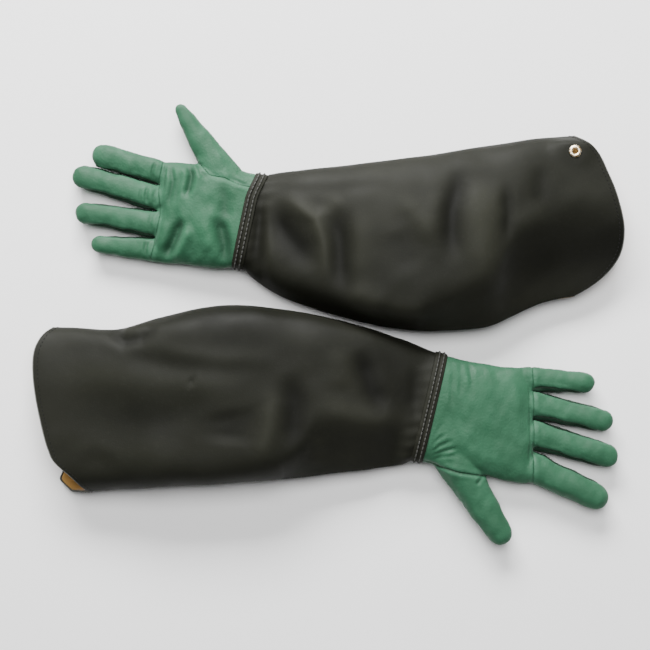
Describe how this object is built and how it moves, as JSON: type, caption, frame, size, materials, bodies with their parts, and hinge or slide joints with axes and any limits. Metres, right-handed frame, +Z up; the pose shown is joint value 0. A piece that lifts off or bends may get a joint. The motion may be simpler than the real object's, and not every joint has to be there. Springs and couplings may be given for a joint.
{
  "type": "beekeeping gloves",
  "caption": "Pair of leather beekeeping gloves with long black sleeves that cover the forearm, a brass eyelet at each open mouth, lying side by side.",
  "frame": {"origin": "on the table, below the middle of the pair's bounding box", "axes": "+X along the left glove's length, towards its fingertips; +Y from the left glove to the right glove; +Z up from the table"},
  "size_m": [0.5885, 0.4432, 0.0583],
  "materials": {
    "glove_leather": "soft grained green leather, satin",
    "sleeve_cloth": "smooth black leather-look cloth, low sheen",
    "sleeve_lining": "woven tan backing",
    "thread": "matte grey thread",
    "brass": "polished"
  },
  "bodies": {
    "right_sleeve": {"right_sleeve_outer": "sleeve_cloth", "right_sleeve_lining": "sleeve_lining", "right_mouth_hem": "sleeve_cloth", "right_mouth_stitching": "thread", "right_eyelet": "brass", "right_eyelet_washer": "brass"},
    "right_hand": {"right_wrist_band": "sleeve_cloth", "right_wrist_stitching": "thread", "right_palm_panel": "glove_leather", "right_back_panel": "glove_leather"},
    "right_thumb": {"right_thumb_front": "glove_leather", "right_thumb_back": "glove_leather"},
    "right_index": {"right_index_front": "glove_leather", "right_index_back": "glove_leather", "right_index_fourchette_little_side": "glove_leather"},
    "right_middle": {"right_middle_front": "glove_leather", "right_middle_back": "glove_leather", "right_middle_fourchette_thumb_side": "glove_leather", "right_middle_fourchette_little_side": "glove_leather"},
    "right_ring": {"right_ring_front": "glove_leather", "right_ring_back": "glove_leather", "right_ring_fourchette_thumb_side": "glove_leather", "right_ring_fourchette_little_side": "glove_leather"},
    "right_little": {"right_little_front": "glove_leather", "right_little_back": "glove_leather", "right_little_fourchette_thumb_side": "glove_leather"},
    "left_sleeve": {"left_sleeve_outer": "sleeve_cloth", "left_sleeve_lining": "sleeve_lining", "left_mouth_hem": "sleeve_cloth", "left_mouth_stitching": "thread", "left_eyelet": "brass", "left_eyelet_washer": "brass"},
    "left_hand": {"left_wrist_band": "sleeve_cloth", "left_wrist_stitching": "thread", "left_palm_panel": "glove_leather", "left_back_panel": "glove_leather"},
    "left_thumb": {"left_thumb_front": "glove_leather", "left_thumb_back": "glove_leather"},
    "left_index": {"left_index_front": "glove_leather", "left_index_back": "glove_leather", "left_index_fourchette_little_side": "glove_leather"},
    "left_middle": {"left_middle_front": "glove_leather", "left_middle_back": "glove_leather", "left_middle_fourchette_thumb_side": "glove_leather", "left_middle_fourchette_little_side": "glove_leather"},
    "left_ring": {"left_ring_front": "glove_leather", "left_ring_back": "glove_leather", "left_ring_fourchette_thumb_side": "glove_leather", "left_ring_fourchette_little_side": "glove_leather"},
    "left_little": {"left_little_front": "glove_leather", "left_little_back": "glove_leather", "left_little_fourchette_thumb_side": "glove_leather"}
  },
  "joints": [
    {"name": "right_wrist_flex", "type": "hinge", "parent": "right_sleeve", "child": "right_hand", "pos_m": [-0.06371, 0.09925, 0.018], "axis": [0.2079, 0.9781, 0], "range_deg": [0, 50], "stiffness_Nm_per_rad": 0.3},
    {"name": "right_index_flex", "type": "hinge", "parent": "right_hand", "child": "right_index", "pos_m": [-0.1723, 0.1528, 0.013], "axis": [0, 1, 0], "range_deg": [0, 75], "stiffness_Nm_per_rad": 0.06},
    {"name": "right_middle_flex", "type": "hinge", "parent": "right_hand", "child": "right_middle", "pos_m": [-0.1723, 0.1266, 0.013], "axis": [0, 1, 0], "range_deg": [0, 75], "stiffness_Nm_per_rad": 0.06},
    {"name": "right_ring_flex", "type": "hinge", "parent": "right_hand", "child": "right_ring", "pos_m": [-0.1723, 0.1, 0.013], "axis": [0, 1, 0], "range_deg": [0, 75], "stiffness_Nm_per_rad": 0.06},
    {"name": "right_little_flex", "type": "hinge", "parent": "right_hand", "child": "right_little", "pos_m": [-0.1723, 0.0738, 0.013], "axis": [0, 1, 0], "range_deg": [0, 75], "stiffness_Nm_per_rad": 0.06},
    {"name": "right_thumb_swing", "type": "hinge", "parent": "right_hand", "child": "right_thumb", "pos_m": [-0.1157, 0.1632, 0.015], "axis": [0, 0, 1], "range_deg": [-10, 30], "stiffness_Nm_per_rad": 0.1},
    {"name": "left_wrist_flex", "type": "hinge", "parent": "left_sleeve", "child": "left_hand", "pos_m": [0.08221, -0.07913, 0.017], "axis": [0.23, 0.9732, 0], "range_deg": [0, 50], "stiffness_Nm_per_rad": 0.3},
    {"name": "left_index_flex", "type": "hinge", "parent": "left_hand", "child": "left_index", "pos_m": [0.2067, -0.1452, 0.013], "axis": [0, 1, 0], "range_deg": [0, 75], "stiffness_Nm_per_rad": 0.06},
    {"name": "left_middle_flex", "type": "hinge", "parent": "left_hand", "child": "left_middle", "pos_m": [0.2067, -0.1117, 0.013], "axis": [0, 1, 0], "range_deg": [0, 75], "stiffness_Nm_per_rad": 0.06},
    {"name": "left_ring_flex", "type": "hinge", "parent": "left_hand", "child": "left_ring", "pos_m": [0.2067, -0.0815, 0.013], "axis": [0, 1, 0], "range_deg": [0, 75], "stiffness_Nm_per_rad": 0.06},
    {"name": "left_little_flex", "type": "hinge", "parent": "left_hand", "child": "left_little", "pos_m": [0.2067, -0.0556, 0.013], "axis": [0, 1, 0], "range_deg": [0, 75], "stiffness_Nm_per_rad": 0.06},
    {"name": "left_thumb_swing", "type": "hinge", "parent": "left_hand", "child": "left_thumb", "pos_m": [0.1417, -0.162, 0.015], "axis": [0, 0, 1], "range_deg": [-10, 30], "stiffness_Nm_per_rad": 0.1},
    {"name": "left_glove_lift", "type": "slide", "parent": "right_sleeve", "child": "left_sleeve", "axis": [0, 0, 1], "range_m": [0, 0.2]}
  ]
}
